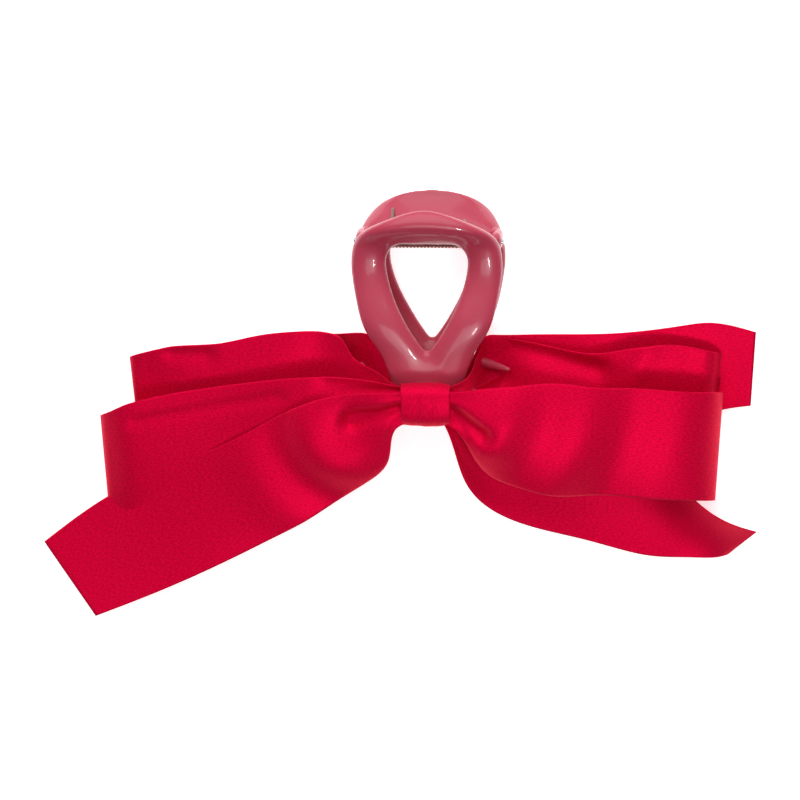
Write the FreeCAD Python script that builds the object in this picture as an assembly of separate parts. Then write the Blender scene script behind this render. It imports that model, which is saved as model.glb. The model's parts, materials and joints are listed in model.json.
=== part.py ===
"""A hair claw clip with a ribbon bow, lying on its back.

The jaws are drawn in clip coordinates: x along the hinge pin, u towards the finger handles and w towards
the bow, from the middle of the hinge pin.  The whole clip is then leaned by LEAN about x, so that the flat
on the back of the rear jaw lies on the surface below it and the rear handle's lip just touches it.
The origin of the finished part is the centre of that flat.  Millimetres throughout.
"""

import FreeCAD, Part
import math
import os

V = FreeCAD.Vector

OVERCUT = 2.0  # how far a cutting tool starts before what it cuts

# ---------------------------------------------------------------- clip
LEAN = 7.5  # degrees between the hinge plane and the surface the clip lies on
SEAT_U, SEAT_W = -40.0, 11.95  # centre of the flat on a jaw's palm
SEAT_START, SEAT_END = -31.0, -56.0  # the flat runs between these u
HOOP_OUTER = [  # right half of a jaw's outline, from the top of the handle to the end of the palm
    (0, 13.5), (10, 12.1), (18, 8.4), (23, 2.8), (25, -5), (24.4, -13), (22.3, -23),
    (18.8, -31), (14.6, -38), (12.2, -45), (7.6, -51), (0, -53.5),
]
HOOP_INNER = [  # right half of the finger ring's opening, from its flat top to the point of the V
    (0, 0.6), (8.6, 0.4), (12.6, -2.2), (13.4, -7), (11.8, -14.4), (8.4, -23), (4.4, -30), (0, -35),
]
OUTSIDE = [(9, 16.0), (3.5, 12.9), (-3, 10.9), (-10, 10.5), (-18, 11.9), (-26, 13.3)]  # (u, w)
INSIDE = [(12.6, 13.8), (6, 8.2), (1.5, 5.0), (-4, 4.3), (-10, 4.8), (-18, 6.2), (-26, 7.4),
          (-34, 7.3), (-42, 6.3), (-56, 4.6)]
LIP = (13.6, 19.0)  # outer corner of the handle's lip
LIP_END = (15.5, 16.8)  # the lip's end, past the outline
EDGE_ROUND = 1.5  # rounding of the jaw's edges

# ---------------------------------------------------------------- teeth
FAN_U = -40.0  # the teeth fan out from this point on the centre line
FAN_START = 9.0  # the roots' distance from that point
FAN_REACH = 20.5  # a middle tooth's reach from that point
FAN_REACH_SIDE = 6.9  # how much further a side tooth reaches
REAR_TEETH = [-82.0, -41.0, 0.0, 41.0, 82.0]  # degrees from straight down
FRONT_TEETH = [-54.0, -18.0, 18.0, 54.0]
TOOTH_STATIONS = 5
TOOTH_ROOT_W, TOOTH_TIP_W = 8.0, 0.6  # a tooth bends in from the palm towards the other jaw
TOOTH_ROOT_R, TOOTH_TIP_R = 2.4, 0.9
TOOTH_BEND = 1.5  # 1 is a straight tooth, more keeps its root along the palm for longer

# ---------------------------------------------------------------- hinge
PIN_R, PIN_HALF = 1.0, 25.0
RUNNING = 0.05  # radial clearance of the front jaw's bores
EAR_R = 3.2
REAR_EAR = (20.4, 24.4)  # from and to, along x
FRONT_EAR = (16.0, 20.0)
EAR_ROOT_W = 7.0  # how far an ear reaches into its jaw

# ---------------------------------------------------------------- spring
WIRE_R = 0.57
COIL_R = 1.9  # to the middle of the wire
COIL_TURNS = 22
COIL_PITCH = 1.2
LEG_END = (8.6, 9.3)  # (u, w) where a leg ends on its handle's inside

# ---------------------------------------------------------------- bow
# The bow is drawn in its own coordinates: x as above, v up along the front jaw's flat and n out of it.
KNOT_U = -50.6  # middle of the knot, on the front jaw's flat
PAD = (14.0, 11.0, 1.6)  # glue pad: along x, v and n
BAND = (16.0, 15.0, 9.6)  # knot band's outside
BAND_WALL = 0.9
THREAD_R = 0.4
THREAD_SLACK = 0.1  # between the thread and the gathered ribbons
CORE_WIDTH = 11.0  # a gathered ribbon inside the band, along v
CORE_HEIGHT, CORE_STEP = 1.3, 1.45
LAYERS = ["rear_ribbon", "middle_ribbon", "tail_ribbon", "front_ribbon"]  # from the jaw outwards
GAP = 0.3  # between the lobes of neighbouring ribbons
# Lobes are stacked along n.  A side lists |x| and the lowest and highest n of each ribbon's lobe there.
LOBE_START = 8.4  # the lobes start here, clear of the band's ends
LEFT_STACK = {
    32: {"rear_ribbon": (-12, -6), "middle_ribbon": (-6, 1), "front_ribbon": (8, 10.5)},
    75: {"rear_ribbon": (-13, -7.3), "middle_ribbon": (-7, -1), "front_ribbon": (3, 5.5)},
    127: {"rear_ribbon": (-14, -8.3), "middle_ribbon": (-8, -2), "front_ribbon": (-2, 0.5)},
}
RIGHT_STACK = {
    32: {"rear_ribbon": (-13, -10.3), "middle_ribbon": (-10, -3.5), "tail_ribbon": (2, 4),
         "front_ribbon": (5, 14)},
    75: {"rear_ribbon": (-15, -12.5), "middle_ribbon": (-12, -5.5), "tail_ribbon": (-5, -3),
         "front_ribbon": (-1, 8)},
    127: {"rear_ribbon": (-17, -14.5), "middle_ribbon": (-14, -8), "tail_ribbon": (-6.5, -4.5),
          "front_ribbon": (-4.5, 4)},
}
# The same lobes' lowest and highest v at |x|; the last |x| is the lobe's end.
LEFT_LOBES = {
    "rear_ribbon": {32: (-12, 17), 75: (-20, 17), 99: (-20, 15)},
    "middle_ribbon": {32: (-20, 9), 75: (-36, 6), 109: (-46, -9)},
    "front_ribbon": {32: (-26, 4), 75: (-50, -14), 127: (-69, -36)},
}
RIGHT_LOBES = {
    "rear_ribbon": {32: (-2, 22), 75: (-4, 24), 110: (0, 24)},
    "middle_ribbon": {32: (-14, 18), 75: (-22, 16), 99: (-24, 14)},
    "tail_ribbon": {32: (-34, -4), 75: (-48, -14), 111: (-54, -28)},
    "front_ribbon": {32: (-28, 5), 75: (-32, 6), 99: (-34, 5)},
}


def lean_placement():
    """Leans the clip and brings the centre of the rear flat to the origin."""
    turn = FreeCAD.Rotation(V(1, 0, 0), LEAN)
    return FreeCAD.Placement(turn.multVec(V(0, SEAT_U, -SEAT_W)).negative(), turn)


def spline(points, closed=False):
    curve = Part.BSplineCurve()
    curve.interpolate(Points=points, PeriodicFlag=closed)
    return curve.toShape()


def hoop_face(half):
    """The area inside an outline given by its right half, in the x-u plane."""
    left = [(-x, u) for x, u in reversed(half[1:-1])]
    return Part.Face(Part.Wire([spline([V(x, u, 0) for x, u in half + left], closed=True)]))


def seat_w(u):
    """Height of the flat over the hinge plane at u."""
    return SEAT_W + (u - SEAT_U) * math.tan(math.radians(LEAN))


def side_face():
    """The jaw seen along the pin: a curved band from the lip to past the palm."""
    flat_start = V(0, SEAT_START, seat_w(SEAT_START))
    flat_end = V(0, SEAT_END, seat_w(SEAT_END))
    outside = [V(0, *LIP)] + [V(0, u, w) for u, w in OUTSIDE] + [flat_start]
    inside = [V(0, u, w) for u, w in reversed(INSIDE)]
    edges = [
        spline(outside),
        Part.LineSegment(flat_start, flat_end).toShape(),
        Part.LineSegment(flat_end, inside[0]).toShape(),
        spline(inside),
        Part.LineSegment(inside[-1], V(0, *LIP_END)).toShape(),
        Part.LineSegment(V(0, *LIP_END), V(0, *LIP)).toShape(),
    ]
    return Part.Face(Part.Wire(edges))


def hoop():
    """The ring, handle and palm of a jaw with its edges rounded, without teeth and ears."""
    width = 2 * (max(x for x, u in HOOP_OUTER) + OVERCUT)
    flat = hoop_face(HOOP_OUTER).cut(hoop_face(HOOP_INNER)).Faces[0]
    side = side_face()
    side.translate(V(-width / 2, 0, 0))
    solid = flat.extrude(V(0, 0, width)).common(side.extrude(V(width, 0, 0))).Solids[0]
    return solid.makeFillet(EDGE_ROUND, solid.Edges)


def tooth(angle):
    """A curved, tapered tooth that leaves the palm at an angle from straight down."""
    side = math.sin(math.radians(angle))
    down = -math.cos(math.radians(angle))
    reach = FAN_REACH + FAN_REACH_SIDE * side ** 2
    centres = []
    for i in range(TOOTH_STATIONS):
        share = i / (TOOTH_STATIONS - 1)
        r = FAN_START + (reach - TOOTH_TIP_R - FAN_START) * share
        w = TOOTH_ROOT_W + (TOOTH_TIP_W - TOOTH_ROOT_W) * share ** TOOTH_BEND
        centres.append(V(r * side, FAN_U + r * down, w))
    rings = []
    for i, centre in enumerate(centres):
        share = i / (TOOTH_STATIONS - 1)
        ahead = centres[min(i + 1, len(centres) - 1)] - centres[max(i - 1, 0)]
        radius = TOOTH_ROOT_R + (TOOTH_TIP_R - TOOTH_ROOT_R) * share
        rings.append(Part.Wire(Part.makeCircle(radius, centre, ahead)))
    return Part.makeLoft(rings, True).fuse(Part.makeSphere(TOOTH_TIP_R, centres[-1]))


def ears(span):
    """The two hinge ears that join a jaw's arms to the pin, one each side."""
    start, end = span
    root = Part.makeBox(end - start, 2 * EAR_R, EAR_ROOT_W, V(start, -EAR_R, 0))
    boss = Part.makeCylinder(EAR_R, end - start, V(start, 0, 0), V(1, 0, 0))
    right = root.fuse(boss)
    return [right, right.mirror(V(0, 0, 0), V(1, 0, 0))]


def jaw(teeth, ear_span, bore_r):
    """A front jaw in clip coordinates."""
    whole = hoop().multiFuse([tooth(angle) for angle in teeth] + ears(ear_span))
    reach = PIN_HALF + OVERCUT
    bore = Part.makeCylinder(bore_r, 2 * reach, V(-reach, 0, 0), V(1, 0, 0))
    return whole.cut(bore).removeSplitter().Solids[0]


def leg(x, side):
    """A straight leg with a round end, on the front (side 1) or the rear (side -1) handle."""
    far = math.hypot(*LEG_END)
    contact = math.atan2(LEG_END[1], LEG_END[0]) + math.acos(COIL_R / far)
    start = V(x, COIL_R * math.cos(contact), side * COIL_R * math.sin(contact))
    end = V(x, LEG_END[0], side * LEG_END[1])
    rod = Part.makeCylinder(WIRE_R, (end - start).Length, start, end - start)
    return rod.multiFuse([Part.makeSphere(WIRE_R, start), Part.makeSphere(WIRE_R, end)])


def coil_spring():
    """Close turns round the pin as one ridged sleeve, the rear leg at its left end and the front leg right."""
    half = (COIL_TURNS - 1) * COIL_PITCH / 2 + WIRE_R
    bore = COIL_R - WIRE_R
    edges = [Part.LineSegment(V(-half, COIL_R, 0), V(-half, bore, 0)).toShape(),
             Part.LineSegment(V(-half, bore, 0), V(half, bore, 0)).toShape(),
             Part.LineSegment(V(half, bore, 0), V(half, COIL_R, 0)).toShape()]
    for turn in range(COIL_TURNS):
        left = -half + turn * COIL_PITCH
        right = left + 2 * WIRE_R
        top = V(left + WIRE_R, COIL_R + WIRE_R, 0)
        edges.append(Part.Arc(V(left, COIL_R, 0), top, V(right, COIL_R, 0)).toShape())
        if turn < COIL_TURNS - 1:
            edges.append(Part.LineSegment(V(right, COIL_R, 0), V(left + COIL_PITCH, COIL_R, 0)).toShape())
    profile = Part.Face(Part.Wire(Part.__sortEdges__(edges)))
    sleeve = profile.revolve(V(0, 0, 0), V(1, 0, 0), 360)
    legs = [leg(WIRE_R - half, -1), leg(half - WIRE_R, 1)]
    return sleeve.multiFuse(legs).Solids[0]


def box(size, low):
    """A box in bow coordinates, centred on x and v, that starts at n = low."""
    return Part.makeBox(*size, V(-size[0] / 2, -size[1] / 2, low))


def knot_band():
    """A short ribbon tube round the gathered middle, with its length along x."""
    inner = (BAND[0] + OVERCUT, BAND[1] - 2 * BAND_WALL, BAND[2] - 2 * BAND_WALL)
    return box(BAND, PAD[2]).cut(box(inner, PAD[2] + BAND_WALL))


def core_low(layer):
    """Lowest n of a gathered ribbon inside the band."""
    stack = CORE_STEP * (len(LAYERS) - 1) + CORE_HEIGHT
    return PAD[2] + (BAND[2] - stack) / 2 + CORE_STEP * layer


def tie_thread():
    """One closed loop of thread round the gathered ribbons."""
    stack = core_low(len(LAYERS) - 1) + CORE_HEIGHT - core_low(0)
    margin = THREAD_SLACK + THREAD_R
    half_v, low, high = CORE_WIDTH / 2 + margin, core_low(0) - margin, core_low(0) + stack + margin
    corners = [V(0, -half_v, low), V(0, half_v, low), V(0, half_v, high), V(0, -half_v, high)]
    runs = []
    for a, b in zip(corners, corners[1:] + corners[:1]):
        runs.append(Part.makeCylinder(THREAD_R, (b - a).Length, a, b - a))
        runs.append(Part.makeSphere(THREAD_R, a))
    return runs[0].multiFuse(runs[1:])


def between(table, x):
    """The pair of values at x, on straight lines between the table's entries."""
    stations = sorted(table)
    upper = next(s for s in stations if s >= x)
    lower = max((s for s in stations if s < x), default=upper)
    share = 0 if upper == lower else (x - lower) / (upper - lower)
    return [a + (b - a) * share for a, b in zip(table[lower], table[upper])]


def lobe(layer, side, stack, outline):
    """A ribbon's loop or tail on one side: a stack slice that widens and droops away from the knot."""
    name = LAYERS[layer]
    low = core_low(layer)
    heights = {LOBE_START: (low, low + CORE_HEIGHT)}
    heights.update({x: (here[name][0] + GAP / 2, here[name][1] - GAP / 2) for x, here in stack.items()})
    widths = {LOBE_START: (-CORE_WIDTH / 2, CORE_WIDTH / 2), **outline[name]}
    sections = []
    for x in sorted(widths):
        (n_low, n_high), (v_low, v_high) = between(heights, x), widths[x]
        ring = [(v_low, n_low), (v_high, n_low), (v_high, n_high), (v_low, n_high)]
        sections.append(Part.makePolygon([V(side * x, v, n) for v, n in ring + ring[:1]]))
    return Part.makeLoft(sections, True, True)


def ribbon(layer):
    """A ribbon from one side of the knot to the other, as one plain solid."""
    name = LAYERS[layer]
    core = box((2 * LOBE_START, CORE_WIDTH, CORE_HEIGHT), core_low(layer))
    lobes = [lobe(layer, 1, RIGHT_STACK, RIGHT_LOBES)]
    if name in LEFT_LOBES:
        lobes.append(lobe(layer, -1, LEFT_STACK, LEFT_LOBES))
    return core.multiFuse(lobes).removeSplitter().Solids[0]


def bow_placement():
    """Puts bow coordinates on the front jaw's flat, at the knot."""
    return FreeCAD.Placement(V(0, KNOT_U, seat_w(KNOT_U)), FreeCAD.Rotation(V(1, 0, 0), LEAN))


def place(shape, *placements):
    for placement in placements:
        shape = shape.copy()
        shape.Placement = placement.multiply(shape.Placement)
    return shape


def parts():
    """Every node's shape, in the finished part's frame."""
    lean, bow = lean_placement(), bow_placement()
    turned = FreeCAD.Placement(V(0, 0, 0), FreeCAD.Rotation(V(0, 1, 0), 180))
    pin = Part.makeCylinder(PIN_R, 2 * PIN_HALF, V(-PIN_HALF, 0, 0), V(1, 0, 0))
    made = {
        "rear_jaw": place(jaw(REAR_TEETH, REAR_EAR, PIN_R), turned, lean),
        "front_jaw": place(jaw(FRONT_TEETH, FRONT_EAR, PIN_R + RUNNING), lean),
        "hinge_pin": place(pin, lean),
        "coil_spring": place(coil_spring(), lean),
        "glue_pad": place(box(PAD, 0), bow, lean),
        "tie_thread": place(tie_thread(), bow, lean),
        "knot_band": place(knot_band(), bow, lean),
    }
    for layer, name in enumerate(LAYERS):
        made[name] = place(ribbon(layer), bow, lean)
    return made


os.makedirs("parts", exist_ok=True)
for node, shape in parts().items():
    shape.exportStep(f"parts/{node}.step")
    size = shape.optimalBoundingBox()
    print(f"{node:14} {shape.Volume:9.1f} mm3  x {size.XMin:7.2f} {size.XMax:7.2f}"
          f"  y {size.YMin:7.2f} {size.YMax:7.2f}  z {size.ZMin:6.2f} {size.ZMax:6.2f}")
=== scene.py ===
# %% [markdown]
# # A hair claw clip with a satin bow
# The clip is two pink plastic jaws that turn on a steel pin against a coil spring. A bow of red satin
# ribbon is glued to the outside of the front jaw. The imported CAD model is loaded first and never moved:
# it gives every piece its place, and the hinge its axis.

# %% Load the frame
import json
import math

import bmesh
import bpy
import numpy as np
from mathutils import Matrix


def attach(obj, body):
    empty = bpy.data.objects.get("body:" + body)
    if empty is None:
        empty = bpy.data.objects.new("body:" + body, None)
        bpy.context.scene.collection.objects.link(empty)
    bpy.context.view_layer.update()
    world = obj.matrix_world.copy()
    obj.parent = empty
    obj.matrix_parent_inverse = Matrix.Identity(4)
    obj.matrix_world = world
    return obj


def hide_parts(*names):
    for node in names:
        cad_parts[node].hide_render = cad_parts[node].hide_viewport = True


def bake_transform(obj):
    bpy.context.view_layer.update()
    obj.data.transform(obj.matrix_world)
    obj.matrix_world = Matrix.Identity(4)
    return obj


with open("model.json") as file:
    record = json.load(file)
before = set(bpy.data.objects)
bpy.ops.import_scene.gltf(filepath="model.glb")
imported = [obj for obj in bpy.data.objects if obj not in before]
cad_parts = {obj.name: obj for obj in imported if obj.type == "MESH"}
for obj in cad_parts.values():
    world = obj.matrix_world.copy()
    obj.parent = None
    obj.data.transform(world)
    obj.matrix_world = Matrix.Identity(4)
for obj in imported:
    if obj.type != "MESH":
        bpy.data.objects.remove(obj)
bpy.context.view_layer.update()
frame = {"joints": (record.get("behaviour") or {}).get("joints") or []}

# %% [markdown]
# Two sets of axes make the shapes easy to write down. The jaws are drawn about the hinge: x along the pin,
# u towards the finger handles, w towards the bow. The bow is drawn in the model's own axes. All lengths are
# typed in millimetres and turned to metres once, when a mesh is made.

# %% The clip's own axes
MM = 0.001
LEAN = math.radians(7.5)  # the clip leans this much on its back
HINGE = np.array(frame["joints"][0]["pos_m"]) / MM
LEAN_U = np.array([0, math.cos(LEAN), math.sin(LEAN)])
LEAN_W = np.array([0, -math.sin(LEAN), math.cos(LEAN)])


def from_clip(points):
    """Points (x, u, w) about the hinge, as points in the model's frame: the hinge, plus x along the pin and
    u and w along their own directions."""
    x, u, w = np.moveaxis(np.asarray(points, float), -1, 0)
    flat = np.multiply.outer(u, LEAN_U) + np.multiply.outer(w, LEAN_W)
    flat[..., 0] += x
    return flat + HINGE


print("hinge at", HINGE)

# %% [markdown]
# Most pieces are smooth surfaces through a few chosen points. A natural cubic spline passes through its
# points with even curvature, which is what moulded plastic and pulled ribbon both show in their highlights.
# Here one helper does curves and whole rows of points alike.

# %% Smooth curves through points
def spline(points, count, closed=False):
    """A cubic spline through rows of points, sampled at even steps. Each span is a cubic whose second
    derivatives come from one linear system, with the spans as long as the chords between the rows."""
    rows = np.asarray(points, float)
    shape = rows.shape[1:]
    if closed:
        rows = np.concatenate([rows, rows[:1]])
    flat = rows.reshape(len(rows), -1)
    chord = np.linalg.norm(np.diff(rows, axis=0).reshape(len(rows) - 1, -1, shape[-1]), axis=2).mean(axis=1)
    knots = np.concatenate([[0], np.cumsum(chord)])
    n = len(flat)
    system, right = np.zeros((n, n)), np.zeros_like(flat)
    slope = np.diff(flat, axis=0) / chord[:, None]
    inner = np.arange(1, n - 1)
    system[inner, inner - 1] = chord[:-1]
    system[inner, inner] = 2 * (chord[:-1] + chord[1:])
    system[inner, inner + 1] = chord[1:]
    right[inner] = 6 * (slope[1:] - slope[:-1])
    if closed:
        system[0, [0, -1]] = 1, -1
        system[-1, [0, 1]] = 2 * chord[0], chord[0]
        system[-1, [-2, -1]] = chord[-1], 2 * chord[-1]
        right[-1] = 6 * (slope[0] - slope[-1])
    else:
        system[0, 0] = system[-1, -1] = 1
    bend = np.linalg.solve(system, right)
    at = np.linspace(0, knots[-1], count, endpoint=not closed)
    span = np.clip(np.searchsorted(knots, at, side="right") - 1, 0, n - 2)
    h = chord[span][:, None]
    left, ahead = (knots[span + 1] - at)[:, None] / h, (at - knots[span])[:, None] / h
    curve = left * flat[span] + ahead * flat[span + 1]
    curve += ((left ** 3 - left) * bend[span] + (ahead ** 3 - ahead) * bend[span + 1]) * h * h / 6
    return curve.reshape((count,) + shape)


print("spline through 3 points", spline([(0, 0), (1, 1), (2, 0)], 3).tolist())

# %% [markdown]
# A grid of points becomes a mesh of four-sided faces. Closed shells have their doubles merged and their
# faces turned outwards; ribbons keep a map of their own length and width, so that a weave can follow them.

# %% Meshes from grids
WELD = 0.002  # points closer than this are one point


def grid_faces(rows, cols, closed_rows, closed_cols):
    """Corners of every face: point (i, j) with its next neighbours, going round where the grid is closed."""
    i, j = np.meshgrid(np.arange(rows if closed_rows else rows - 1),
                       np.arange(cols if closed_cols else cols - 1), indexing="ij")
    i_next, j_next = (i + 1) % rows, (j + 1) % cols
    corners = [i * cols + j, i_next * cols + j, i_next * cols + j_next, i * cols + j_next]
    return np.stack(corners, -1).reshape(-1, 4)


def new_piece(name, grid, closed_rows=False, closed_cols=False, shell=True, chart=None):
    """A mesh object from a grid of points in millimetres. A shell is welded and turned outwards."""
    rows, cols = grid.shape[:2]
    faces = grid_faces(rows, cols, closed_rows, closed_cols)
    mesh = bpy.data.meshes.new(name)
    mesh.from_pydata((grid.reshape(-1, 3) * MM).tolist(), [], faces.tolist())
    if chart is not None:
        layer = mesh.uv_layers.new(name="cloth")
        layer.data.foreach_set("uv", chart.reshape(-1, 2)[faces.ravel()].ravel())
    if shell:
        tidy_shell(mesh)
    mesh.polygons.foreach_set("use_smooth", np.ones(len(mesh.polygons), bool))
    piece = bpy.data.objects.new(name, mesh)
    bpy.context.scene.collection.objects.link(piece)
    return piece


def tidy_shell(mesh):
    """Merges doubled points, drops faces without area and turns the rest outwards."""
    work = bmesh.new()
    work.from_mesh(mesh)
    bmesh.ops.remove_doubles(work, verts=work.verts, dist=WELD * MM)
    bmesh.ops.recalc_face_normals(work, faces=work.faces)
    work.to_mesh(mesh)
    work.free()


def apply_modifiers(piece):
    """Replaces the mesh by what its modifiers make of it."""
    shown = piece.evaluated_get(bpy.context.evaluated_depsgraph_get())
    mesh = bpy.data.meshes.new_from_object(shown)
    piece.modifiers.clear()
    piece.data = mesh
    mesh.polygons.foreach_set("use_smooth", np.ones(len(mesh.polygons), bool))
    return piece


def signed_power(values, power):
    """The size of each value raised to a power, with its sign kept."""
    return np.sign(values) * np.abs(values) ** power


print("grid of 2 by 3 points makes", len(grid_faces(2, 3, False, False)), "faces")

# %% [markdown]
# The main body of a jaw is one closed hoop: the finger handle at its top, an arm each side and the palm at
# its end, with the see-through ring in the middle. It could be carved from a block, but one surface that
# runs round the hoop keeps the highlights unbroken, so the outline and the opening are two closed splines
# and a rounded section joins them at every step.

# %% The hoop of a jaw
HOOP_PAIRS = [  # right half below the handle: (x, u) on the outline, (x, u) on the opening
    (23, 2.8, 12.8, -2.6), (25, -5, 13.4, -7), (24.4, -13, 12.1, -13.5), (22.3, -23, 8.9, -21.8),
    (18.8, -31, 4.6, -29.6), (14.6, -38, 2.0, -33.4), (12.2, -45, 0.9, -34.7), (7.6, -51, 0.4, -34.95),
    (0, -53.5, 0, -35),
]
FRONT_TOP = [(0, 13.3, 0, 0.6), (10, 10.9, 5.5, 0.6), (18, 7.2, 10.2, 0.1)]  # the same round a handle
REAR_TOP = [(0, 14.4, 0, 0.6), (10, 12.9, 5.5, 0.6), (18, 8.9, 10.2, 0.1)]
BACK_PROFILE = [  # (u, w) along the outside of a jaw
    (-60, 9.3), (-50, 10.6), (-40, 11.9), (-31, 13.1), (-26, 13.3), (-18, 11.9), (-10, 10.5),
    (-3, 10.9), (1, 12.2), (4.5, 15.3), (9, 18.2), (12.5, 17.2), (15, 14.5),
]
PALM_PROFILE = [  # (u, w) along its inside
    (-60, 4.4), (-56, 4.6), (-42, 6.3), (-34, 7.3), (-26, 7.4), (-18, 6.2), (-10, 4.8), (-4, 4.3),
    (1.5, 5.0), (6, 8.2), (10, 11.6), (13, 13.2), (15, 13.8),
]
SECTION_POWER = 2.1  # 2 is an ellipse, more is squarer
HOOP_STEPS, SECTION_STEPS, PROFILE_STEPS = 240, 64, 300


def hoop_grid(top):
    """Rounds the hoop by its steps and the section by its angle: a point lies between opening and outline
    by the cosine, and between the inside and outside profiles by the sine, each raised to a power."""
    half = np.array(top + HOOP_PAIRS, float).reshape(-1, 2, 2)
    left = half[-2:0:-1] * [-1, 1]
    pairs = spline(np.concatenate([half, left]), HOOP_STEPS, closed=True)
    outline, opening = pairs[:, None, 0], pairs[:, None, 1]
    angle = np.linspace(0, 2 * np.pi, SECTION_STEPS, endpoint=False)
    across = signed_power(np.cos(angle), 2 / SECTION_POWER)[None, :, None]
    through = signed_power(np.sin(angle), 2 / SECTION_POWER)[None, :]
    plan = (outline + opening) / 2 + across * (outline - opening) / 2
    back, palm = spline(BACK_PROFILE, PROFILE_STEPS), spline(PALM_PROFILE, PROFILE_STEPS)
    high = np.interp(plan[..., 1], back[:, 0], back[:, 1])
    low = np.interp(plan[..., 1], palm[:, 0], palm[:, 1])
    return np.concatenate([plan, ((high + low) / 2 + through * (high - low) / 2)[..., None]], axis=-1)


hoops = {1: hoop_grid(FRONT_TOP), -1: hoop_grid(REAR_TOP)}
print("hoop grids", {side: grid.shape for side, grid in hoops.items()})

# %% [markdown]
# Curved teeth fan out from the palm and hold the hair. Each is a tapered tube with a domed tip. The same
# tube carried along a path makes the spring, so the helper takes a radius for each step of the path.

# %% Tubes along a path
def tube_grid(path, radii, sides, across):
    """Circles carried along a path: each lies in the plane of two directions at right angles to the path,
    found from a direction that the path never follows."""
    path, across = np.asarray(path, float), np.asarray(across, float)
    ahead = np.gradient(path, axis=0)
    ahead /= np.linalg.norm(ahead, axis=1, keepdims=True)
    first = across - (ahead @ across)[:, None] * ahead
    first /= np.linalg.norm(first, axis=1, keepdims=True)
    second = np.cross(ahead, first)
    angle = np.linspace(0, 2 * np.pi, sides, endpoint=False)
    ring = np.cos(angle)[None, :, None] * first[:, None] + np.sin(angle)[None, :, None] * second[:, None]
    return path[:, None] + ring * np.asarray(radii, float)[:, None, None]


def domed(path, radii, steps=6):
    """Adds a round cap to both ends of a path: the steps go on past the end while the radius falls as a
    quarter circle does."""
    path, radii = np.asarray(path, float), np.asarray(radii, float)
    turn = np.linspace(0, np.pi / 2, steps + 1)[1:]
    caps = []
    for end, before in ((0, 1), (-1, -2)):
        out = (path[end] - path[before]) / np.linalg.norm(path[end] - path[before])
        cap = path[end] + np.outer(np.sin(turn) * radii[end], out)
        caps.append((cap, np.maximum(np.cos(turn), 0) * radii[end]))
    return (np.concatenate([caps[0][0][::-1], path, caps[1][0]]),
            np.concatenate([caps[0][1][::-1], radii, caps[1][1]]))


print("a short tube with caps has", len(domed([(0, 0, 0), (0, 0, 1)], [1, 1])[0]), "rings")

# %% [markdown]
# Five teeth on the rear jaw pass between four on the front jaw. A tooth is a tapered tube along its own ray
# from the palm, and it bends towards the other jaw. Two ears on each jaw hold the pin: a round boss about
# it, and a rounded block from the boss up into the arm.

# %% Teeth and hinge ears
FAN_U, FAN_START, FAN_REACH, FAN_REACH_SIDE = -40.0, 7.0, 20.5, 6.9
TOOTH_W = (8.0, 0.6)  # at the root and at the tip
TOOTH_R = (3.1, 2.3, 1.9, 1.5, 0.9)  # from the root to the tip
TOOTH_BEND = 1.6  # 1 is a straight tooth, more keeps its root along the palm for longer
REAR_TEETH, FRONT_TEETH = (-82, -41, 0, 41, 82), (-54, -18, 18, 54)  # degrees from straight down
REAR_EAR, FRONT_EAR = (20.4, 24.4), (16.0, 20.0)  # from and to, along x
EAR_R, EAR_ROUND = 3.2, 0.8
EAR_ROOT_W, EAR_ROOT_HALF = 4.0, 4.6  # the block's middle and half its height

def tooth_grid(angle):
    """A tooth leaves the palm along its own ray and bends towards the other jaw: its w falls as a power of
    the way along it."""
    side, down = math.sin(math.radians(angle)), -math.cos(math.radians(angle))
    reach = FAN_REACH + FAN_REACH_SIDE * side ** 2 - TOOTH_R[-1]
    share = np.linspace(0, 1, len(TOOTH_R))
    r = FAN_START + (reach - FAN_START) * share
    w = TOOTH_W[0] + (TOOTH_W[1] - TOOTH_W[0]) * share ** TOOTH_BEND
    line = spline(np.stack([r * side, FAN_U + r * down, w, TOOTH_R], axis=1), 24)
    path, radii = domed(line[:, :3], line[:, 3])
    return tube_grid(path, radii, 28, (-down, side, 0))

def lump_grid(centre, half, power=3.0):
    """A rounded block: a sphere whose sines and cosines are raised to a power."""
    round_, rise = np.meshgrid(np.linspace(0, 2 * np.pi, 48, endpoint=False),
                               np.linspace(-np.pi / 2, np.pi / 2, 25), indexing="ij")
    p = 2 / power
    unit = np.stack([signed_power(np.sin(rise), p),
                     signed_power(np.cos(rise), p) * signed_power(np.cos(round_), p),
                     signed_power(np.cos(rise), p) * signed_power(np.sin(round_), p)], axis=-1)
    return np.asarray(centre, float) + unit * np.asarray(half, float)


def ear_grids(span):
    """A round boss about the pin and a block up into the arm, on both sides."""
    x, half = (span[0] + span[1]) / 2, (span[1] - span[0]) / 2
    found = []
    for side in (-1, 1):
        ends = [(side * x - half + EAR_ROUND, 0, 0), (side * x + half - EAR_ROUND, 0, 0)]
        path, radii = domed(ends, [EAR_R, EAR_R])
        path[:, 0] = side * x + (path[:, 0] - side * x) * half / (half - EAR_ROUND + EAR_R)
        found.append((tube_grid(path, radii, 32, (0, 1, 0)), False))
        found.append((lump_grid((side * x, 0, EAR_ROOT_W), (half, EAR_R, EAR_ROOT_HALF)), True))
    return found


print("a middle tooth ends at u", round(float(tooth_grid(0)[..., 1].min()), 1))

# %% [markdown]
# A jaw is moulded in one shot, so its hoop, teeth and ears have to be one skin with soft roots. The shells
# overlap, a fine remesh takes their common outside, and smoothing melts the joins as a mould's fillets do.

# %% Join shells into one moulding
VOXEL = 0.42  # the remesh's step
MELT = 14  # rounds of smoothing


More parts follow.
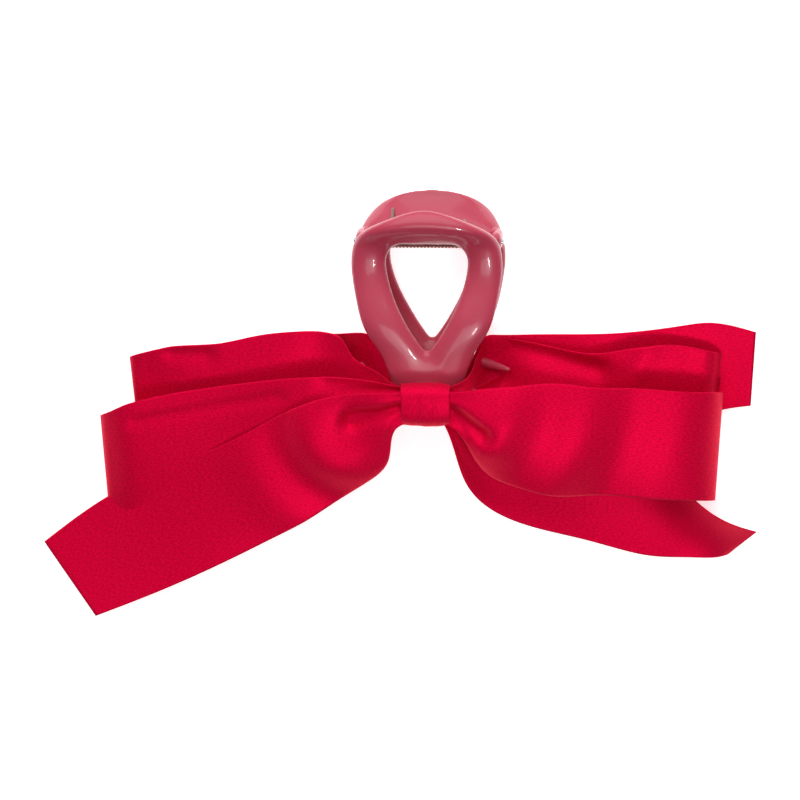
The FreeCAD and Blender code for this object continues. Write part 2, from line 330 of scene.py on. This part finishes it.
def moulding(name, shells):
    """One closed skin round several overlapping shells."""
    parts = [new_piece(name + "_part", grid, closed_rows=rows, closed_cols=cols)
             for grid, rows, cols in shells]
    whole = bmesh.new()
    for part in parts:
        whole.from_mesh(part.data)
    mesh = bpy.data.meshes.new(name)
    whole.to_mesh(mesh)
    whole.free()
    for part in parts:
        bpy.data.objects.remove(part)
    piece = bpy.data.objects.new(name, mesh)
    bpy.context.scene.collection.objects.link(piece)
    remesh = piece.modifiers.new("skin", "REMESH")
    remesh.mode, remesh.voxel_size = "VOXEL", VOXEL * MM
    melt = piece.modifiers.new("melt", "SMOOTH")
    melt.factor, melt.iterations = 0.5, MELT
    return apply_modifiers(piece)


def jaw(name, teeth, ears, side):
    """side is 1 for the front jaw and -1 for the rear one, which is the same shape turned about u."""
    turn = np.array([side, 1, side])
    shells = [(from_clip(hoops[side] * turn), True, True)]
    shells += [(from_clip(tooth_grid(angle) * turn), False, True) for angle in teeth]
    for grid, closed_rows in ear_grids(ears):
        shells.append((from_clip(grid * turn), closed_rows, not closed_rows))
    return moulding(name, shells)


rear_jaw = jaw("rear_jaw_moulding", REAR_TEETH, REAR_EAR, -1)
front_jaw = jaw("front_jaw_moulding", FRONT_TEETH, FRONT_EAR, 1)
for piece, node, body in ((rear_jaw, "rear_jaw", "rear_half"), (front_jaw, "front_jaw", "front_half")):
    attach(piece, body)
    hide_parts(node)
    print(piece.name, len(piece.data.polygons), "faces")

# %% [markdown]
# The pin is a short steel rod with domed ends. The spring is one length of wire: a leg that lies on the rear
# handle, close turns round the pin, and a leg that lies on the front handle. A helix is a circle that moves
# along its axis, so the whole wire is one path for the tube. When the jaws open, the spring winds up between
# its two legs.

# %% The hinge pin and the spring
PIN_R, PIN_HALF, PIN_DOME = 1.0, 25.0, 0.5
WIRE_R, COIL_R, COIL_TURNS, COIL_PITCH = 0.57, 1.9, 22, 1.2
LEG_END = (8.6, 9.3)  # (u, w) on a handle's inside
TURN_STEPS, LEG_STEPS = 24, 16

pin_x = np.array([0, 0, 0.35, 0.8, 1.0]) * PIN_DOME
pin_rise = np.array([0, 0.5, 0.85, 0.98, 1.0]) * PIN_R
pin_path = np.concatenate([pin_x - PIN_HALF, PIN_HALF - pin_x[::-1]])
pin_grid = tube_grid(np.stack([np.linspace(-1, 1, len(pin_path)), 0 * pin_path, 0 * pin_path], axis=1),
                     np.concatenate([pin_rise, pin_rise[::-1]]), 32, (0, 1, 0))
pin_grid[..., 0] = pin_path[:, None]
hinge_pin = new_piece("hinge_pin_rod", from_clip(pin_grid), closed_cols=True)
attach(hinge_pin, "rear_half")
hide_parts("hinge_pin")


def spring_path():
    """Leg, coil and leg: the coil's angle goes round evenly while x moves one pitch a turn, and each leg
    leaves the coil along its tangent."""
    far = math.hypot(*LEG_END)
    contact = math.atan2(LEG_END[1], LEG_END[0]) + math.acos(COIL_R / far)
    half = COIL_PITCH * (COIL_TURNS - 1) / 2
    whole_turns = 2 * math.pi * (COIL_TURNS - 1) + 2 * contact
    angle = np.linspace(-contact, whole_turns - contact, TURN_STEPS * COIL_TURNS)
    x = np.linspace(-half, half, len(angle))
    coil = np.stack([x, COIL_R * np.cos(angle), COIL_R * np.sin(angle)], axis=1)
    rear_end = np.array([-half, LEG_END[0], -LEG_END[1]])
    front_end = np.array([half, LEG_END[0], LEG_END[1]])
    share = np.linspace(0, 1, LEG_STEPS)[:-1, None]
    rear_leg = rear_end + share * (coil[0] - rear_end)
    front_leg = (front_end + share * (coil[-1] - front_end))[::-1]
    return np.concatenate([rear_leg, coil, front_leg])


wire_line = spring_path()
wire_path, wire_radii = domed(wire_line, np.full(len(wire_line), WIRE_R))
coil_spring = new_piece("coil_spring_wire", from_clip(tube_grid(wire_path, wire_radii, 14, (1, 0, 0))),
                        closed_cols=True)
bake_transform(coil_spring)
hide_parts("coil_spring")
print("spring wire", round(np.linalg.norm(np.diff(wire_path, axis=0), axis=1).sum()), "mm long")

# %% [markdown]
# The bow is four lengths of 38 mm satin ribbon, gathered and tied in the middle. A ribbon is a strip: its
# shape follows from where its two selvages run and how much it puffs between them. So each ribbon is a
# list of stations, spline-smoothed along its length and rounded across its width. Folds are then pressed
# into it. Cloth simulation would fold it somewhere else each time, and a bow's folds are what people see.

# %% Ribbon strips
BOW_V = np.array([0, 0.9659, 0.2588])  # up along the front jaw's flat
BOW_N = np.array([0, -0.2588, 0.9659])  # out of it
KNOT = np.array([0, -13.45, 20.93])
RIBBON_WIDTH = 38.0
RIBBON_THICK = 0.28
ALONG_STEPS, ACROSS_STEPS = 300, 56
GATHER_HALF = 5.3  # half the width of a ribbon gathered inside the knot
PLEAT_WAVES, PLEAT_PHASE = 3, 0.6
PLEAT_START, PLEAT_FADE = 8, 16  # where pleats begin to fade, and over what distance


def at_knot(x, n):
    """A gathered station inside the knot, n above the jaw's flat."""
    middle = KNOT + n * BOW_N + np.array([x, 0, 0])
    return (*(middle + GATHER_HALF * BOW_V), *(middle - GATHER_HALF * BOW_V), 0, 0)


def strip_grid(stations):
    """Upper selvage, lower selvage, puff and slide at each station. The puff lifts the middle of the ribbon
    by a parabola across the width, and the slide moves its highest line towards one selvage."""
    rows = np.array([[s[0:3], s[3:6], (*s[6:8], 0)] for s in stations], float)
    rows = spline(rows, ALONG_STEPS)
    across = np.linspace(0, 1, ACROSS_STEPS)[None, :, None]
    flat = rows[:, None, 0] * (1 - across) + rows[:, None, 1] * across
    puff, slide = rows[:, None, 2, 0:1], rows[:, None, 2, 1:2]
    arch = 4 * across * (1 - across) * (1 + slide * (1 - 2 * across))
    return flat + puff * arch * BOW_N


def away(grid, start, end):
    """Distance of each point from a line between two places in plan."""
    start, end = np.asarray(start, float), np.asarray(end, float)
    plan = grid[..., :2] - start
    share = np.clip(plan @ (end - start) / ((end - start) @ (end - start)), 0, 1)
    return np.linalg.norm(plan - share[..., None] * (end - start), axis=-1)

def press(grid, creases=(), rings=(), pleats=0.0):
    """Lifts or lowers the cloth along BOW_N. A crease is a bell-shaped fold along a line: start, end, width
    and height. A ring is one along an arc: centre, radius, width, height, and the direction it faces and
    its spread in degrees. Pleats are waves across the width that fade away from the knot."""
    lift = np.zeros(grid.shape[:2])
    for start, end, width, height in creases:
        lift += height * np.exp(-(away(grid, start, end) / width) ** 2)
    for centre, radius, width, height, facing, spread in rings:
        plan = grid[..., :2] - np.asarray(centre, float)
        off = np.linalg.norm(plan, axis=-1) - radius
        turn = np.degrees(np.arctan2(plan[..., 1], plan[..., 0])) - facing
        turn = (turn + 180) % 360 - 180
        lift += height * np.exp(-(off / width) ** 2 - (turn / spread) ** 4)
    across = np.linspace(0, 1, grid.shape[1])[None]
    fade = np.exp(-((np.abs(grid[..., 0]) - PLEAT_START).clip(0) / PLEAT_FADE) ** 2)
    lift += pleats * fade * np.cos(2 * np.pi * PLEAT_WAVES * across + PLEAT_PHASE)
    return grid + lift[..., None] * BOW_N

def cloth_chart(grid):
    """Length and width on the ribbon in millimetres, for the weave to follow."""
    step = np.linalg.norm(np.diff(grid[:, grid.shape[1] // 2], axis=0), axis=1)
    along = np.concatenate([[0], np.cumsum(step)])
    across = np.linspace(0, RIBBON_WIDTH, grid.shape[1])
    return np.stack(np.broadcast_arrays(along[:, None], across[None]), axis=-1)


def ribbon(name, node, grid):
    """The strip with its woven thickness, on the front half."""
    piece = new_piece(name, grid, shell=False, chart=cloth_chart(grid))
    wall = piece.modifiers.new("cloth thickness", "SOLIDIFY")
    wall.thickness, wall.offset, wall.use_even_offset = RIBBON_THICK * MM, 0, False
    apply_modifiers(piece)
    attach(piece, "front_half")
    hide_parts(node)
    return piece


print("the knot is", round(float(np.linalg.norm(KNOT - HINGE)), 1), "mm from the hinge")

# %% [markdown]
# The front ribbon is the one seen most. Its left end hangs free as a long tail cut at a slant, and on the
# right it doubles back as the largest loop. Soft folds spread from the knot like ripples: each is a ridge
# or a valley along an arc, one to three millimetres high.

# %% The front ribbon: left tail and large right loop
front_stations = [
    # the tail, from its slanted end to the knot
    (-133, -67, 1.5, -114, -91, 9.5, 0, 0), (-111, -51, 4.6, -90, -81, 11.5, 0.5, 0),
    (-94, -42, 9.2, -73, -73, 13, 1, 0), (-70, -31, 16, -50, -61, 15, 1.5, 0),
    (-52, -21.5, 21.5, -33, -51, 17, 2.5, 0), (-36, -14, 27, -20, -42, 19, 4, 0),
    (-20, -11.5, 30, -12.5, -33.5, 23, 3, 0), (-10, -11, 31, -9.5, -23, 28, 1, 0), at_knot(-4, 9.0),
    at_knot(4, 9.0),
    # the loop's front layer
    (9, -10.5, 31.2, 9.5, -23, 28.5, 1, 0), (20, -9, 32.5, 20, -38, 25.5, 4, 0),
    (33, -8, 31.5, 31, -43, 24, 4, 0), (46, -7.5, 29.5, 43, -45.5, 22, 3, 0),
    (60, -9, 27, 60, -46, 19, 2, 0), (80, -10, 22.8, 79, -47, 16.5, 1, 0),
    # round the fold
    (90.5, -10.7, 20, 88.5, -47.7, 14.5, 0.5, 0), (96, -11.2, 16, 93.6, -48.2, 11, 0, 0),
    (97.3, -11.6, 12, 95, -48.4, 8, 0, 0), (93, -12.2, 9.5, 91, -47.8, 5.5, 0, 0),
    # and back underneath
    (60, -13, 14, 60, -44, 8, 0, 0), (30, -13, 20, 30, -36, 15, 0, 0), (12, -14, 25, 12, -25, 22, 0, 0),
    at_knot(5, 8.2),
]
front_grid = press(
    strip_grid(front_stations),
    creases=[((-9, -17), (-25, -22), 2.6, -3.4), ((9, -18), (19, -25), 2.6, -3.6)],
    rings=[
        # the dimple left of the knot and the folds round it
        ((-24, -22.5), 0, 8, -3.4, 180, 400), ((-24, -22), 17, 5.5, 1.2, 225, 70),
        ((-23, -21), 29, 7, -1.3, 220, 50), ((-22, -20), 41, 9, 1.0, 216, 40),
        # the folds across the right loop
        ((8, -14), 20, 5, 1.0, 315, 60), ((8, -14), 32, 7, -1.1, 322, 60), ((6, -12), 47, 8, 1.2, 330, 50),
        ((4, -10), 64, 8, -1.1, 335, 45), ((2, -8), 82, 9, 0.9, 338, 40),
    ],
    pleats=0.2)
front_ribbon = ribbon("front_ribbon_satin", "front_ribbon", front_grid)

# %% [markdown]
# The middle ribbon makes a loop on both sides: the lower left one and the second one on the right, which
# shows only as a strip behind the front loop. Its layers are pulled down beside the clip's palm.

# %% The middle ribbon: lower left loop and second right loop
middle_stations = [
    # the left loop's back layer
    at_knot(-5, 4.9), (-14, -12, 21, -14, -25, 18, 0, 0), (-40, -11, 17, -40, -40, 9, 0, 0),
    (-64, -14, 13.5, -64, -48, 5, 0, 0), (-94, -20, 9, -94, -55, 2.4, 0, 0),
    # round its fold
    (-104, -22, 5.2, -103, -57, 1.4, 0, 0), (-111, -23.2, 4.4, -109.5, -58, 1.2, 0, 0),
    (-112, -22.6, 8, -110, -58, 2.6, 0, 0), (-108.5, -20.8, 12.4, -107.5, -57.5, 4.6, 0, 0),
    (-103.5, -18.4, 15, -103, -56.5, 6.6, 0.5, 0), (-96, -16, 16, -96, -54, 8, 1, 0),
    # its front layer
    (-64, -10, 19, -64, -46, 10, 2, 0), (-40, -7, 24, -40, -38, 15, 2, 0),
    (-20, -7.5, 27, -20, -28, 22, 1, 0), (-10, -9, 28.5, -10, -21, 26, 0, 0), at_knot(-4, 5.9),
    at_knot(4, 5.9),
    # beside the palm, and the right loop's front layer
    (9.5, -8.5, 27, 9.5, -20, 25, 0, 0), (13.8, -6, 17, 12.5, -22, 23, 2, 0),
    (18.6, 3.8, 7.5, 19.5, -26, 18, -5, 0.5), (26, 4.4, 8, 27, -30, 13, -3, 0.3),
    (37, 3, 10, 37, -32, 10, 0, 0), (54, 0.5, 11.5, 54, -35, 6, 0.5, 0), (68, 3, 14, 68, -34, 4, 2, 0),
    (80, 4, 14, 80, -33, 4.2, 1.5, 0),
    # round the fold
    (89, 2.8, 13, 88, -34, 4.4, 0.5, 0), (95.5, 1.2, 10.5, 91.5, -35, 3, 0, 0),
    (96.8, 0.6, 7.5, 92, -35, 2, 0, 0), (92, 0.5, 5.5, 88, -34.5, 1.5, 0, 0),
    # and back underneath
    (68, 1.5, 6, 68, -33, 1.2, 0, 0), (40, 1, 6, 40, -28, 3, 0, 0), (20, -9, 9, 20, -22, 9, 0, 0),
    (12, -11, 20, 12, -21, 19, 0, 0), at_knot(6, 4.9),
]
middle_grid = press(strip_grid(middle_stations),
                    creases=[((-99, -24), (-50, -14), 2.5, -0.8), ((-33, -9.5), (-9, -11.5), 3.2, -1.2),
                             ((20, 4), (56, -5), 3.5, -2.2), ((72, 2), (66, -9), 4.0, 1.0)], pleats=0.3)
middle_ribbon = ribbon("middle_ribbon_satin", "middle_ribbon", middle_grid)

# %% [markdown]
# The rear ribbon lies lowest, close to the table. It loops at the upper left and leaves a dark hollow next
# to the clip, and its right end is a crisp free end cut straight across.

# %% The rear ribbon: upper left loop and the crisp upper right end
rear_stations = [
    # the left loop's back layer
    at_knot(-5, 3.3), (-11.6, -8.5, 19, -12.6, -20, 18, 0, 0), (-13.4, -2.5, 13.5, -15, -22, 16, 0, 0),
    (-19.0, 6.0, 13.5, -22, -26, 11, -2, 0.5), (-30, 6.5, 13, -32, -29, 6, -5, 0.5),
    (-42, 6.4, 12, -42, -30, 3.2, -4, 0.5), (-71, 2.0, 7, -71, -34, 1.2, 0, 0),
    # round its fold
    (-93, -2, 4.6, -92, -36, 0.8, 0, 0), (-100.5, -3.3, 5.6, -98, -37, 1.2, 0, 0),
    (-101.6, -2.6, 8.8, -99, -37, 2.2, 0, 0), (-96.5, -0.6, 12, -95, -36, 2.4, 0, 0),
    # its front layer, whose edge bounds the hollow beside the clip
    (-87, 1.6, 14, -87, -35, 2.8, 0.5, 0), (-71, 3, 15, -71, -34, 4, 1, 0),
    (-57, 6, 16, -57, -31, 7, 1, 0), (-43, 7.6, 17, -43, -29, 8.5, 0.5, 0),
    (-34, 7.4, 17.2, -34, -27, 10, 0, 0), (-28.6, 5.2, 18.4, -29, -25, 12.5, 0, 0),
    (-25, -0.5, 19.2, -24, -23.5, 15, 0, 0), (-17, -5, 21, -17, -22, 18, 0, 0),
    (-10, -9, 25.5, -10, -20, 23, 0, 0), at_knot(-4, 4.1), at_knot(4, 4.1),
    # beside the palm and out to the free end
    (10.5, -9, 22, 10.5, -19, 21, 0, 0), (12.0, -6.5, 11, 13.5, -22, 10, 0, 0),
    (14.4, -1, 7.5, 16.5, -24, 3.5, 0, 0), (17.8, 5.2, 6.5, 20, -26, 1.8, 0, 0),
    (21.5, 6.0, 6.0, 25, -28, 1.4, 0, 0), (34, 6.3, 6.5, 36, -30, 1.2, 0, 0),
    (60, 7, 8, 60, -29, 1.0, 0, 0), (84, 10, 9, 84, -24, 1.2, 0, 0), (93, 11, 9, 93, -20, 2.5, 0, 0),
    (108, 8, 9, 106.5, -17, 5, 0, 0),
]
rear_grid = press(strip_grid(rear_stations), creases=[((-86, -1), (-75, -1), 3.0, -1.0)], pleats=0.2)
rear_ribbon = ribbon("rear_ribbon_satin", "rear_ribbon", rear_grid)

# %% [markdown]
# The tail ribbon starts under the front loop and shows below it as a second free end. It sags a little
# across its width, so its lower part turns up towards the light.

# %% The tail ribbon: lower right tail
tail_stations = [
    at_knot(-6, 7.4), at_knot(5, 7.4), (9, -13, 27, 8.5, -28, 25, 0, 0),
    (16, -15.5, 21, 13, -43, 18, 0, 0), (31, -18, 16, 26, -55, 11, -1, 0),
    (53, -25, 12.2, 52, -63, 5, -2.5, 0), (71, -32, 10, 71, -68, 3, -2.5, 0),
    (84, -44, 10.5, 82, -68.7, 3, -2, 0), (94, -52.3, 12, 89, -68.7, 3, -1.5, 0),
    (103, -56.5, 13, 96, -68.5, 2.5, -1, 0), (109, -58, 14, 99.5, -67.5, 2.5, 0, 0),
]
tail_grid = press(strip_grid(tail_stations), pleats=0.4)
tail_ribbon = ribbon("tail_ribbon_satin", "tail_ribbon", tail_grid)

# %% [markdown]
# A short band of the same satin is wrapped tightly round the gathered middle and hides the thread that ties
# it. It is a rounded tube whose ends are open, with fine folds that run round it.

# %% The knot band
BAND_HALF_X, BAND_HALF_V, BAND_LOW, BAND_HIGH = 8.0, 7.5, 1.6, 11.2
BAND_WALL, BAND_CLOTH = 0.9, 0.5  # the whole wrap, and the cloth that shows
BAND_TAPER, BAND_TWIST = 0.07, 0.25
V_POWER, N_POWER = 2.8, 2.4  # 2 is an ellipse, more is squarer
FINE_FOLD, FINE_WAVES, FINE_SWAY = 0.006, 11, 0.6
BROAD_FOLD, BROAD_WAVES, BROAD_SHIFT = 0.012, 4.3, 0.9

def band_grid():
    """Goes round by an angle and along x: a squarish ring, a little fatter in the middle, with fine folds
    that run round it."""
    x, angle = np.meshgrid(np.linspace(-1, 1, 61), np.linspace(0, 2 * np.pi, 160, endpoint=False),
                           indexing="ij")
    swell = 1 - BAND_TAPER * np.abs(x) ** 3 - BAND_WALL / (2 * BAND_HALF_X)
    fold = FINE_FOLD * np.cos(FINE_WAVES * x + FINE_SWAY * np.sin(angle))
    fold += BROAD_FOLD * np.cos(BROAD_WAVES * x - BROAD_SHIFT)
    v = (swell + fold) * BAND_HALF_V * signed_power(np.cos(angle), 2 / V_POWER)
    n = (swell + fold) * (BAND_HIGH - BAND_LOW) / 2 * signed_power(np.sin(angle), 2 / N_POWER)
    middle = (BAND_HIGH + BAND_LOW) / 2
    place = KNOT + v[..., None] * BOW_V + (middle + n)[..., None] * BOW_N
    place[..., 0] += BAND_HALF_X * x + BAND_TWIST * np.sin(angle)
    return place

band = band_grid()
band_chart = np.stack(np.broadcast_arrays(np.linspace(0, 40, band.shape[1])[None, :],
                                          np.linspace(4, 20, band.shape[0])[:, None]), axis=-1)
knot_band = new_piece("knot_band_wrap", band, closed_cols=True, shell=False, chart=band_chart)
band_wall = knot_band.modifiers.new("band thickness", "SOLIDIFY")
band_wall.thickness, band_wall.offset = BAND_CLOTH * MM, 0
apply_modifiers(knot_band)
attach(knot_band, "front_half")
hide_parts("knot_band")
print("knot band grid", band.shape)

# %% [markdown]
# Under the band, a loop of thread ties the ribbons, and a flattened drop of glue holds the bow on the
# jaw. They hardly show, but they are on the real object, so each is a small piece of its own.

# %% Thread and glue
THREAD_R, THREAD_STEPS = 0.38, 96
THREAD_HALF_V, THREAD_HALF_N, THREAD_MIDDLE_N = 6.0, 3.3, 6.4
THREAD_SQUARE = 0.6  # the power of sine and cosine: 1 is an ellipse, less is squarer
GLUE_HALF, GLUE_POWER, GLUE_N = (6.8, 5.3, 0.78), 2.3, 0.8

turn = np.linspace(0, 2 * np.pi, THREAD_STEPS, endpoint=False)
thread_v = THREAD_HALF_V * signed_power(np.cos(turn), THREAD_SQUARE)
thread_n = THREAD_MIDDLE_N + THREAD_HALF_N * signed_power(np.sin(turn), THREAD_SQUARE)
thread_path = KNOT + np.multiply.outer(thread_v, BOW_V) + np.multiply.outer(thread_n, BOW_N)
thread_grid = tube_grid(thread_path, np.full(THREAD_STEPS, THREAD_R), 12, (1, 0, 0))
tie_thread = new_piece("tie_thread_loop", thread_grid, closed_rows=True, closed_cols=True)
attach(tie_thread, "front_half")
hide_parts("tie_thread")

glue = lump_grid((0, 0, 0), GLUE_HALF, GLUE_POWER)
glue_place = KNOT + np.multiply.outer(glue[..., 1], BOW_V) + np.multiply.outer(glue[..., 2] + GLUE_N, BOW_N)
glue_place[..., 0] += glue[..., 0]
glue_pad = new_piece("glue_drop", glue_place, closed_rows=True)
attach(glue_pad, "front_half")
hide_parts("glue_pad")
print("thread grid", thread_grid.shape, "glue grid", glue_place.shape)

# %% [markdown]
# The plastic is smooth and glossy, with a faint unevenness from the flow in the mould and fine handling
# marks that vary its roughness. A clear coat gives small sharp highlights over the soft ones.

# %% Material helpers and the pink plastic
def finish(name, **settings):
    """A material whose shader settings are given by name."""
    material = bpy.data.materials.new(name)
    material.use_nodes = True
    tree = material.node_tree
    shader = tree.nodes["Principled BSDF"]
    for key, value in settings.items():
        shader.inputs[key.replace("_", " ")].default_value = value
    return material, tree, shader

def put_on(material, *objects):
    """Makes it the only material of each object."""
    for one in objects:
        one.data.materials.clear()
        one.data.materials.append(material)

def noise(tree, source, scale, detail=2):
    """Cloudy noise over a map: how many clouds to a unit, and how fine they get."""
    made = tree.nodes.new("ShaderNodeTexNoise")
    made.inputs["Scale"].default_value = scale
    made.inputs["Detail"].default_value = detail
    tree.links.new(source, made.inputs["Vector"])
    return made.outputs["Fac"]

def ramp(tree, source, low, high, start=0.0, end=1.0):
    """Turns a number into a colour: low up to the start, high from the end on, mixed between them."""
    made = tree.nodes.new("ShaderNodeValToRGB")
    first, last = made.color_ramp.elements
    first.position, first.color = start, low
    last.position, last.color = end, high
    tree.links.new(source, made.inputs["Fac"])
    return made.outputs["Color"]

def between(tree, source, low, high):
    """Stretches a number from 0 to 1 over a range."""
    made = tree.nodes.new("ShaderNodeMapRange")
    made.inputs["To Min"].default_value, made.inputs["To Max"].default_value = low, high
    tree.links.new(source, made.inputs["Value"])
    return made.outputs["Result"]

def relief(tree, source, strength, height, below=None):
    """Bumps that follow a number, height in metres, on top of other bumps if there are any below."""
    made = tree.nodes.new("ShaderNodeBump")
    made.inputs["Strength"].default_value, made.inputs["Distance"].default_value = strength, height
    tree.links.new(source, made.inputs["Height"])
    if below is not None:
        tree.links.new(below, made.inputs["Normal"])
    return made.outputs["Normal"]

plastic, tree, shader = finish("pink_gloss_plastic", Roughness=0.3, IOR=1.5, Subsurface_Weight=0.08,
                               Subsurface_Scale=0.004, Coat_Weight=0.45, Coat_Roughness=0.04)
place = tree.nodes.new("ShaderNodeTexCoord").outputs["Object"]
cloud = noise(tree, place, 60, detail=3)
tint = ramp(tree, cloud, (0.43, 0.036, 0.074, 1), (0.50, 0.046, 0.090, 1))
wear = between(tree, noise(tree, place, 900), 0.26, 0.38)
tree.links.new(tint, shader.inputs["Base Color"])
tree.links.new(wear, shader.inputs["Roughness"])
tree.links.new(relief(tree, cloud, 0.04, 0.0005), shader.inputs["Normal"])
put_on(plastic, rear_jaw, front_jaw)
print("pink plastic has", len(tree.nodes), "nodes")

# %% [markdown]
# Satin has long floats of weft that shine, and a fine rib across the ribbon. The ribbon's own map of length
# and width carries both, so the grain follows every fold. The dye varies a little from thread to thread.

# %% Red satin
satin, tree, shader = finish("red_satin_weave", Roughness=0.48, IOR=1.45, Metallic=0.4,
                             Sheen_Weight=0.25, Sheen_Roughness=0.4, Sheen_Tint=(1.0, 0.04, 0.22, 1),
                             Specular_Tint=(1.0, 0.05, 0.25, 1))
chart = tree.nodes.new("ShaderNodeUVMap")
chart.uv_map = "cloth"
stretch = tree.nodes.new("ShaderNodeMapping")
stretch.inputs["Scale"].default_value = (0.9, 2.4, 1.0)
tree.links.new(chart.outputs["UV"], stretch.inputs["Vector"])
grain = noise(tree, stretch.outputs["Vector"], 1.0)
dye = ramp(tree, grain, (0.56, 0.0005, 0.024, 1), (0.84, 0.0014, 0.050, 1), start=0.3, end=0.7)
rib = tree.nodes.new("ShaderNodeTexWave")
rib.bands_direction = "X"
rib.inputs["Scale"].default_value = 1.1
rib.inputs["Distortion"].default_value = 1.5
tree.links.new(chart.outputs["UV"], rib.inputs["Vector"])
weave = relief(tree, rib.outputs["Fac"], 0.12, 0.00006)
tree.links.new(dye, shader.inputs["Base Color"])
tree.links.new(relief(tree, grain, 0.2, 0.00008, below=weave), shader.inputs["Normal"])
put_on(satin, front_ribbon, middle_ribbon, rear_ribbon, tail_ribbon, knot_band)
print("red satin has", len(tree.nodes), "nodes")

# %% [markdown]
# The small parts are bright steel, brown spring wire, cotton thread and clear glue. Each has one colour, and
# a roughness that varies in fine specks.

# %% Metals, thread and glue
def speckled(name, colour, metallic, low, high, scale):
    """One colour whose roughness lies between low and high by a fine noise."""
    material, tree, shader = finish(name, Base_Color=colour, Metallic=metallic)
    place = tree.nodes.new("ShaderNodeTexCoord").outputs["Object"]
    tree.links.new(between(tree, noise(tree, place, scale), low, high), shader.inputs["Roughness"])
    return material

for piece, name, colour, metallic, low, high, scale in (
        (hinge_pin, "bright_pin_steel", (0.72, 0.72, 0.74, 1), 1.0, 0.1, 0.25, 1500),
        (coil_spring, "brown_spring_steel", (0.36, 0.24, 0.20, 1), 1.0, 0.25, 0.45, 1200),
        (tie_thread, "red_cotton_thread", (0.45, 0.002, 0.03, 1), 0.0, 0.7, 0.9, 2500),
        (glue_pad, "clear_hot_glue", (0.8, 0.78, 0.72, 1), 0.0, 0.2, 0.4, 400)):
    put_on(speckled(name, colour, metallic, low, high, scale), piece)
    print(piece.name, "is", name)

# %% [markdown]
# The clip lies on a plain pale table that glows a little, so its shadows stay faint. The room is brighter
# beyond the handles than in front of the bow.

# %% Floor and room
FLOOR_REACH, FLOOR_Z = 3.0, -0.0004
floor_mesh = bpy.data.meshes.new("table_top")
floor_corners = [(x * FLOOR_REACH, y * FLOOR_REACH, FLOOR_Z) for x, y in ((-1, -1), (1, -1), (1, 1), (-1, 1))]
floor_mesh.from_pydata(floor_corners, [], [(0, 1, 2, 3)])
floor = bpy.data.objects.new("table_top", floor_mesh)
bpy.context.scene.collection.objects.link(floor)
paper, tree, shader = finish("pale_paper", Base_Color=(0.93, 0.93, 0.93, 1), Roughness=0.9,
                             Emission_Color=(1, 1, 1, 1), Emission_Strength=0.62)
put_on(paper, floor)

world = bpy.data.worlds.new("soft_room")
world.use_nodes = True
tree = world.node_tree
sky, split, fade = (tree.nodes.new(kind) for kind in
                    ("ShaderNodeTexCoord", "ShaderNodeSeparateXYZ", "ShaderNodeMapRange"))
tree.links.new(sky.outputs["Generated"], split.inputs["Vector"])
tree.links.new(split.outputs["Y"], fade.inputs["Value"])
fade.inputs["From Min"].default_value, fade.inputs["From Max"].default_value = -0.8, 0.9
fade.inputs["To Min"].default_value, fade.inputs["To Max"].default_value = 0.06, 0.4
tree.links.new(fade.outputs["Result"], tree.nodes["Background"].inputs["Strength"])
tree.nodes["Background"].inputs["Color"].default_value = (1, 1, 1, 1)
bpy.context.scene.world = world
bpy.context.scene.view_settings.view_transform = "Standard"
print("floor at", FLOOR_Z, "and room", world.name)

# %% [markdown]
# The camera looks almost straight down, from a little to the right and a little towards the handles.

# %% Camera
AIM = np.array([-8.7, -14.0, 25.0]) * MM
DISTANCE, VIEW_WIDTH, SENSOR = 1.2, 0.264, 36
TILT, SWING = math.radians(7.0), math.radians(5.5)
back = np.array([math.sin(SWING), math.sin(TILT) * math.cos(SWING), math.cos(TILT) * math.cos(SWING)])
up = np.array([0, 1, 0]) - back[1] * back
up /= np.linalg.norm(up)
right = np.cross(up, back)

def look(obj, place, toward_back, toward_up, toward_right):
    """Places a camera or lamp by its own three axes."""
    turn = np.eye(4)
    turn[:3, :3] = np.stack([toward_right, toward_up, toward_back], axis=1)
    turn[:3, 3] = place
    obj.matrix_world = Matrix(turn.tolist())

camera_data = bpy.data.cameras.new("camera")
camera_data.sensor_width = SENSOR
camera_data.lens = SENSOR * DISTANCE / VIEW_WIDTH
camera_data.clip_start, camera_data.clip_end = 0.01, 20
camera = bpy.data.objects.new("camera", camera_data)
bpy.context.scene.collection.objects.link(camera)
look(camera, AIM + DISTANCE * back, back, up, right)
bpy.context.scene.camera = camera
print("camera at", (AIM + DISTANCE * back).round(3))

# %% [markdown]
# Two wide lamps beyond the handles give the main light, a weaker one overhead fills the shadows, and one on
# the bow's side lightens the palm. A small lamp at the right makes the sharp highlights on the plastic.

# %% Lamps
def lamp(name, place, size, power, glossy=True):
    """A lamp, size wide and deep, that faces the clip. Without glossy nothing mirrors it."""
    data = bpy.data.lights.new(name, "AREA")
    data.shape, data.size, data.size_y, data.energy = "RECTANGLE", *size, power
    obj = bpy.data.objects.new(name, data)
    obj.visible_glossy = glossy
    bpy.context.scene.collection.objects.link(obj)
    facing = np.asarray(place, float) / np.linalg.norm(place)
    side = np.cross((0, 1, 0), facing)
    side /= np.linalg.norm(side)
    look(obj, place, facing, np.cross(facing, side), side)
    print(name, power, "W")

lamp("key_softbox", (-0.05, 0.75, 0.72), (1.0, 1.0), 7.2, glossy=False)
lamp("sheen_softbox", (-0.05, 0.7, 0.8), (1.1, 1.1), 3.8)
lamp("fill_softbox", (0.0, -0.1, 1.4), (0.9, 0.9), 1.5, glossy=False)
lamp("front_softbox", (0.0, -0.55, 1.2), (0.6, 0.5), 1.7)
lamp("small_lamp", (0.22, -0.5, 0.9), (0.035, 0.2), 1.8)
